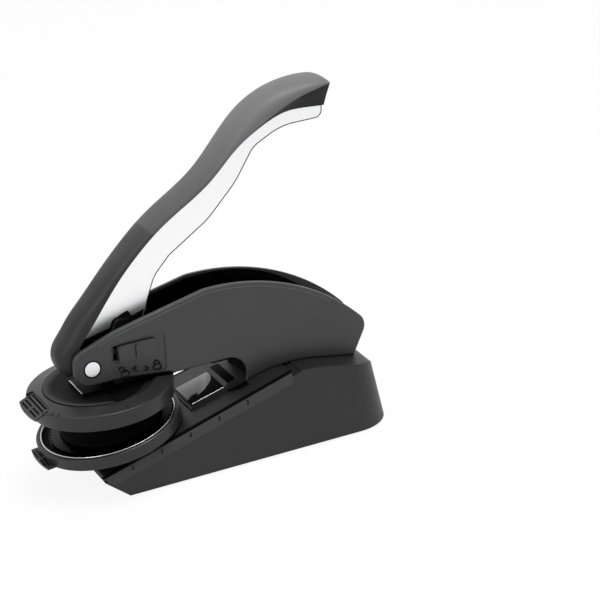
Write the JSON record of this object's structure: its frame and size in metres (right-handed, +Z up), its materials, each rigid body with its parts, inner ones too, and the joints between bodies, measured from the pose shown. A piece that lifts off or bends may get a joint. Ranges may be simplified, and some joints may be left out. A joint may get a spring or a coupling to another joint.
{
  "type": "seal embosser",
  "caption": "Hand-held lever seal embosser: C-shaped housing on a wedge base, round die holders with front pull tabs, raised lever and side lock slide.",
  "frame": {"origin": "on the desk plane, under the middle of the whole press with its lever up", "axes": "+X to the rear (throat side, away from the dies), +Z up, -Y to the side with the lock slide"},
  "size_m": [0.1458, 0.058, 0.1441],
  "materials": {
    "base_plastic": "fine satin texture, moulded",
    "housing_plastic": "fine satin texture, moulded",
    "holder_plastic": "semi-gloss, moulded",
    "die_resin": "engraved, matte",
    "guide_nylon": "matte",
    "grip_rubber": "soft-touch, matte",
    "foot_rubber": "matte",
    "lever_steel": "satin nickel plate",
    "bright_steel": "polished",
    "frame_steel": "black zinc",
    "painted_steel": "black paint",
    "ring_steel": "blackened, satin",
    "black_screw": "black oxide",
    "spring_steel": "bright wire"
  },
  "bodies": {
    "frame": {"base_shell": "base_plastic", "base_bottom_plate": "painted_steel", "rubber_feet": "foot_rubber", "base_screws": "black_screw", "left_housing": "housing_plastic", "right_housing": "housing_plastic", "left_frame_plate": "frame_steel", "right_frame_plate": "frame_steel", "housing_screws": "black_screw", "pivot_pin": "bright_steel", "die_hinge_pin": "bright_steel", "hub_washers": "guide_nylon", "anvil_block": "frame_steel", "lower_die_holder": "holder_plastic", "lower_die": "die_resin", "lower_die_ring": "ring_steel", "return_spring": "spring_steel", "left_lever_guide": "guide_nylon", "right_lever_guide": "guide_nylon", "lock_detent_spring": "spring_steel"},
    "lever": {"lever_plate": "lever_steel", "lever_grip": "grip_rubber", "grip_pins": "bright_steel"},
    "press_head": {"upper_die_holder": "holder_plastic", "upper_die": "die_resin", "upper_die_ring": "ring_steel", "upper_die_arm": "frame_steel", "press_roller": "bright_steel", "roller_pin": "bright_steel"},
    "lock": {"lock_button": "holder_plastic", "lock_tooth": "guide_nylon"}
  },
  "joints": [
    {"name": "lever_pivot", "type": "hinge", "parent": "frame", "child": "lever", "pos_m": [-0.0471, 0, 0.05], "axis": [0, 1, 0], "range_deg": [0, 35], "stiffness_Nm_per_rad": 0.2, "springref_deg": -28.65, "deforming": ["return_spring"]},
    {"name": "press_head_hinge", "type": "hinge", "parent": "frame", "child": "press_head", "pos_m": [-0.0063, 0, 0.0424], "axis": [0, -1, 0], "range_deg": [0, 7]},
    {"name": "lock_slide", "type": "slide", "parent": "frame", "child": "lock", "axis": [-1, 0, 0], "range_m": [0, 0.002], "deforming": ["lock_detent_spring"]}
  ],
  "couplings": [
    {"joint": "press_head_hinge", "follows": "lever_pivot", "ratio": 0.2}
  ]
}
